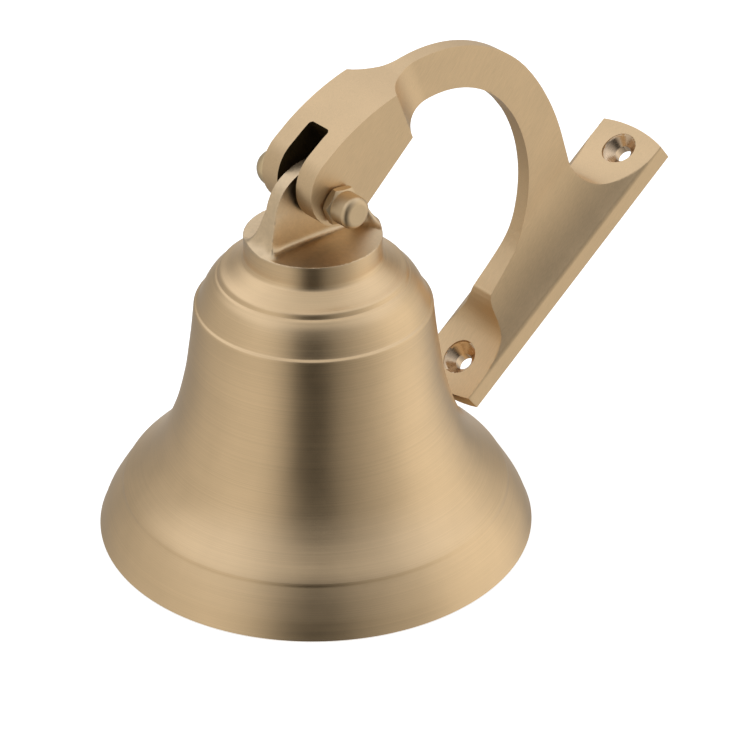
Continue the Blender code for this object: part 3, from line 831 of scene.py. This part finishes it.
def brass(name, colour, roughness, lines, depth=0.10, tint=0.08):
    """Metal whose colour, roughness and surface all vary a little along the lines of its finish."""
    nodes = Nodes(name)
    place = lines(nodes)
    streaks = nodes.noise(place, 1.0, 4.0, 0.65)
    clouds = nodes.noise(nodes.place, CLOUD_SCALE, 3.0, 0.55)
    mixed = nodes.maths("ADD", nodes.maths("MULTIPLY", streaks, 0.6), nodes.maths("MULTIPLY", clouds, 0.4))
    shade = nodes.add("ShaderNodeValToRGB", Fac=mixed)
    ramp = shade.color_ramp.elements
    ramp[0].position, ramp[1].position = 0.36, 0.64
    ramp[0].color = (*(c * (1 - tint) for c in colour), 1)
    ramp[1].color = (*(min(1.0, c * (1 + tint)) for c in colour), 1)
    nodes.feed(nodes.shader.inputs["Base Color"], shade.outputs["Color"])
    nodes.shader.inputs["Metallic"].default_value = 1.0
    uneven = nodes.spread(mixed, roughness - 0.04, roughness + 0.05)
    nodes.feed(nodes.shader.inputs["Roughness"], uneven)
    bump = nodes.add("ShaderNodeBump", Height=streaks)
    bump.inputs["Strength"].default_value = depth
    bump.inputs["Distance"].default_value = BUMP_HEIGHT
    nodes.feed(nodes.shader.inputs["Normal"], bump.outputs["Normal"])
    return nodes


def make_materials():
    across, up, out = (ON_BRACKET.col[k].to_3d() for k in range(3))
    slanted = (up + BRUSH_SLANT * out).normalized()
    beside = (out - BRUSH_SLANT * up).normalized()
    found = {}
    found["bell"] = brass(
        "satin_turned_brass",
        (0.73, 0.53, 0.31),
        0.33,
        lambda n: n.turned(BELL_AXIS, (0, 0, 1), 5200.0),
    )
    found["inside"] = brass(
        "cast_inside_brass",
        (0.52, 0.38, 0.20),
        0.42,
        lambda n: n.turned(BELL_AXIS, (0, 0, 1), 1800.0),
        depth=0.2,
    )
    found["bracket"] = brass(
        "satin_brushed_brass",
        (0.70, 0.51, 0.30),
        0.43,
        lambda n: n.stretched(PIN, (across, slanted, beside), (5200.0, 300.0, 5200.0)),
        depth=0.16,
        tint=0.09,
    )
    found["lug"] = brass(
        "satin_cast_brass",
        (0.72, 0.55, 0.35),
        0.38,
        lambda n: n.stretched(PIN, (across, up, out), (700, 700, 700)),
        depth=0.14,
    )
    found["machined"] = brass(
        "machined_brass",
        (0.68, 0.51, 0.34),
        0.24,
        lambda n: n.stretched(PIN, (across, up, out), (300, 300, 4000)),
    )
    # Near-black colour for the inside of the slot: painted shade, standing in for the shadow deep in the
    # slot.
    found["painted_slot_shade"] = brass(
        "slot_shade_painted_brass",
        (0.075, 0.052, 0.022),
        0.7,
        lambda n: n.stretched(PIN, (across, up, out), (900, 900, 900)),
        depth=0.5,
        tint=0.15,
    )
    found["bolt"] = brass(
        "turned_bolt_brass", (0.74, 0.565, 0.33), 0.30, lambda n: n.turned(PIN, (1, 0, 0), 5200.0)
    )
    found["nut"] = brass(
        "turned_nut_brass", (0.64, 0.475, 0.285), 0.36, lambda n: n.turned(PIN, (1, 0, 0), 4600.0)
    )
    found["clapper"] = brass(
        "machined_clapper_brass",
        (0.72, 0.53, 0.28),
        0.26,
        lambda n: n.turned(BELL_AXIS, (0, 0, 1), 4200.0),
    )
    found["wire"] = brass(
        "drawn_wire_brass",
        (0.70, 0.54, 0.32),
        0.28,
        lambda n: n.stretched(PIN, (across, up, out), (900, 900, 900)),
    )
    return {key: nodes.material for key, nodes in found.items()}


# The stage

VIEW_AZIMUTH = math.radians(50)
VIEW_ELEVATION = math.radians(31.605)
CAMERA_FROM_BELL = Vector((0.5714, -0.4576, 0.4980))
FLOOR_MIDDLE = 400.0
BACKDROP_RADIUS = 4000.0
FLOOR_GLOW = 0.62
FLOOR_IN_WALLS = 0.74


def make_camera():
    camera = bpy.data.objects.new("camera", bpy.data.cameras.new("camera"))
    bpy.context.collection.objects.link(camera)
    back = Vector(
        (
            math.sin(VIEW_AZIMUTH) * math.cos(VIEW_ELEVATION),
            -math.cos(VIEW_AZIMUTH) * math.cos(VIEW_ELEVATION),
            math.sin(VIEW_ELEVATION),
        )
    )
    camera.location = BELL_AXIS + CAMERA_FROM_BELL
    camera.rotation_mode = "QUATERNION"
    camera.rotation_quaternion = (-back).to_track_quat("-Z", "Y")
    camera.data.lens = 144
    camera.data.sensor_width = 36
    camera.data.clip_start = 0.01
    camera.data.clip_end = 20
    bpy.context.scene.camera = camera


def make_world():
    """A soft studio all round: broad pale walls to the sides, and a darker gap at the front."""
    world = bpy.data.worlds.new("studio")
    bpy.context.scene.world = world
    world.use_nodes = True
    tree = world.node_tree
    background = tree.nodes["Background"]

    def add(kind, operation=None, *values):
        node = tree.nodes.new(kind)
        if operation:
            node.operation = operation
        for socket, value in zip(node.inputs, values):
            feed(tree, socket, value)
        return node

    heading = add("ShaderNodeTexCoord").outputs["Generated"]
    front = (math.sin(VIEW_AZIMUTH), -math.cos(VIEW_AZIMUTH), 0)
    side = (math.cos(VIEW_AZIMUTH), math.sin(VIEW_AZIMUTH), 0)
    forward = add("ShaderNodeVectorMath", "DOT_PRODUCT", heading, front).outputs["Value"]
    sideways = add("ShaderNodeVectorMath", "DOT_PRODUCT", heading, side).outputs["Value"]
    turn = add("ShaderNodeMath", "ARCTAN2", sideways, forward).outputs[0]
    part = add("ShaderNodeMath", "MULTIPLY_ADD", turn, 1 / math.tau, 0.5).outputs[0]

    def ring(stops, tint):
        """A grey that changes smoothly round the studio, from stops of (degrees from the front, grey)."""
        node = add("ShaderNodeValToRGB", None, part)
        ramp = node.color_ramp
        ramp.interpolation = "EASE"
        while len(ramp.elements) < len(stops):
            ramp.elements.new(0.5)
        for element, (degrees, grey) in zip(ramp.elements, stops):
            element.position = degrees / 360 + 0.5
            element.color = (*(grey * c for c in tint), 1)
        return node.outputs["Color"]

    def blended(level, low, high, below, above):
        """One colour below a level and another above it, blended from low to high."""
        lift = add("ShaderNodeMapRange", None, level)
        lift.inputs["From Min"].default_value = low
        lift.inputs["From Max"].default_value = high
        node = tree.nodes.new("ShaderNodeMix")
        node.data_type = "RGBA"
        factor, first, second = (node.inputs[k] for k in (0, 6, 7))
        for socket, value in ((factor, lift.outputs[0]), (first, below), (second, above)):
            feed(tree, socket, value)
        return node.outputs[2]

    walls = ring(
        (
            (-180, 0.72),
            (-150, 0.38),
            (-130, 0.42),
            (-110, 0.56),
            (-90, 0.66),
            (-68, 0.76),
            (-40, 0.82),
            (-26, 0.55),
            (-12, 0.03),
            (8, 0.03),
            (24, 0.32),
            (45, 0.48),
            (62, 0.70),
            (82, 1.02),
            (106, 1.06),
            (126, 0.74),
            (148, 0.36),
            (180, 0.72),
        ),
        (1.0, 0.99, 0.97),
    )
    lights = ring(
        (
            (-180, 1.00),
            (-150, 1.20),
            (-118, 1.10),
            (-90, 1.05),
            (-60, 1.04),
            (-38, 0.84),
            (-22, 0.40),
            (-8, 0.16),
            (8, 0.20),
            (24, 0.36),
            (46, 0.52),
            (66, 0.85),
            (90, 1.06),
            (125, 1.12),
            (180, 1.00),
        ),
        (1.0, 1.03, 1.1),
    )
    level = add("ShaderNodeSeparateXYZ", None, heading).outputs["Z"]
    floor_side = add("ShaderNodeVectorMath", "SCALE", walls)
    floor_side.inputs["Scale"].default_value = FLOOR_IN_WALLS
    low_half = blended(level, -0.56, -0.36, floor_side.outputs[0], walls)
    room = blended(level, 0.34, 0.66, low_half, lights)
    room = blended(level, 0.80, 0.97, room, (0.78, 0.8, 0.84, 1))
    tree.links.new(room, background.inputs["Color"])


def make_floor():
    """A wide pale floor and a pale backdrop round it, which the brass doesn't mirror."""
    points, faces = lathe([(0.0, 0.0), (FLOOR_MIDDLE, 0.0), (BACKDROP_RADIUS, 0.0)], 64)
    faces = [face[::-1] for face in faces]
    floor = mesh_object("floor", points, faces, Matrix.Translation((0, 0, -0.0003)))
    sky = [(BACKDROP_RADIUS * a, BACKDROP_RADIUS * b) for a, b in arc((0, 0), 1, -15, 80, 0.05)]
    points, faces = lathe(sky, 64)
    backdrop = mesh_object("backdrop", points, faces, Matrix())
    for thing, diffuse, glow in ((floor, 0.9, FLOOR_GLOW), (backdrop, 0.0, 1.0)):
        material = bpy.data.materials.new(f"pale_{thing.name}")
        material.use_nodes = True
        shader = material.node_tree.nodes["Principled BSDF"]
        shader.inputs["Base Color"].default_value = (diffuse, diffuse, diffuse, 1)
        shader.inputs["Roughness"].default_value = 1.0
        shader.inputs["Specular IOR Level"].default_value = 0.0
        shader.inputs["Emission Color"].default_value = (1, 1, 1, 1)
        shader.inputs["Emission Strength"].default_value = glow
        thing.data.materials.append(material)
        thing.visible_glossy = False
        thing.visible_shadow = False
        thing.visible_diffuse = thing is floor


# The pieces: each rides on its body, stands for its CAD node and gets its finishes, the bracket's painted
# slot shade among them; the slot column is listed but not used

materials = make_materials()
for piece, node, body, slot, finishes in (
    (make_bracket(), "wall_bracket", "bracket", "cast", ("bracket", "machined", "painted_slot_shade")),
    (make_bell(), "bell", "bell", "cast", ("bell", "inside", "lug")),
    (make_pivot_bolt(), "pivot_bolt", "bracket", "machined", ("bolt",)),
    (make_cap_nut(), "cap_nut", "bracket", "machined", ("nut",)),
    (make_eye_bolt(), "clapper_eye_bolt", "bell", "machined", ("clapper",)),
    (make_nut("eye_bolt_lock_nut", *EYE_BOLT_NUT), "eye_bolt_nut", "bell", "machined", ("clapper",)),
    (make_link(), "clapper_link", "link", "wire", ("wire",)),
    (make_rod(), "clapper_rod", "clapper", "machined", ("clapper",)),
    (make_ball(), "clapper_ball", "clapper", "machined", ("clapper",)),
    (make_nut("bob_lock_nut", *ROD_NUT), "rod_lock_nut", "clapper", "machined", ("clapper",)),
    (make_lanyard_eye(), "lanyard_eye", "clapper", "machined", ("clapper",)),
):
    for finish in finishes:
        piece.data.materials.append(materials[finish])
    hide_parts(node)
    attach(piece, body)

make_camera()
make_world()
make_floor()
bpy.context.scene.view_settings.view_transform = "Standard"
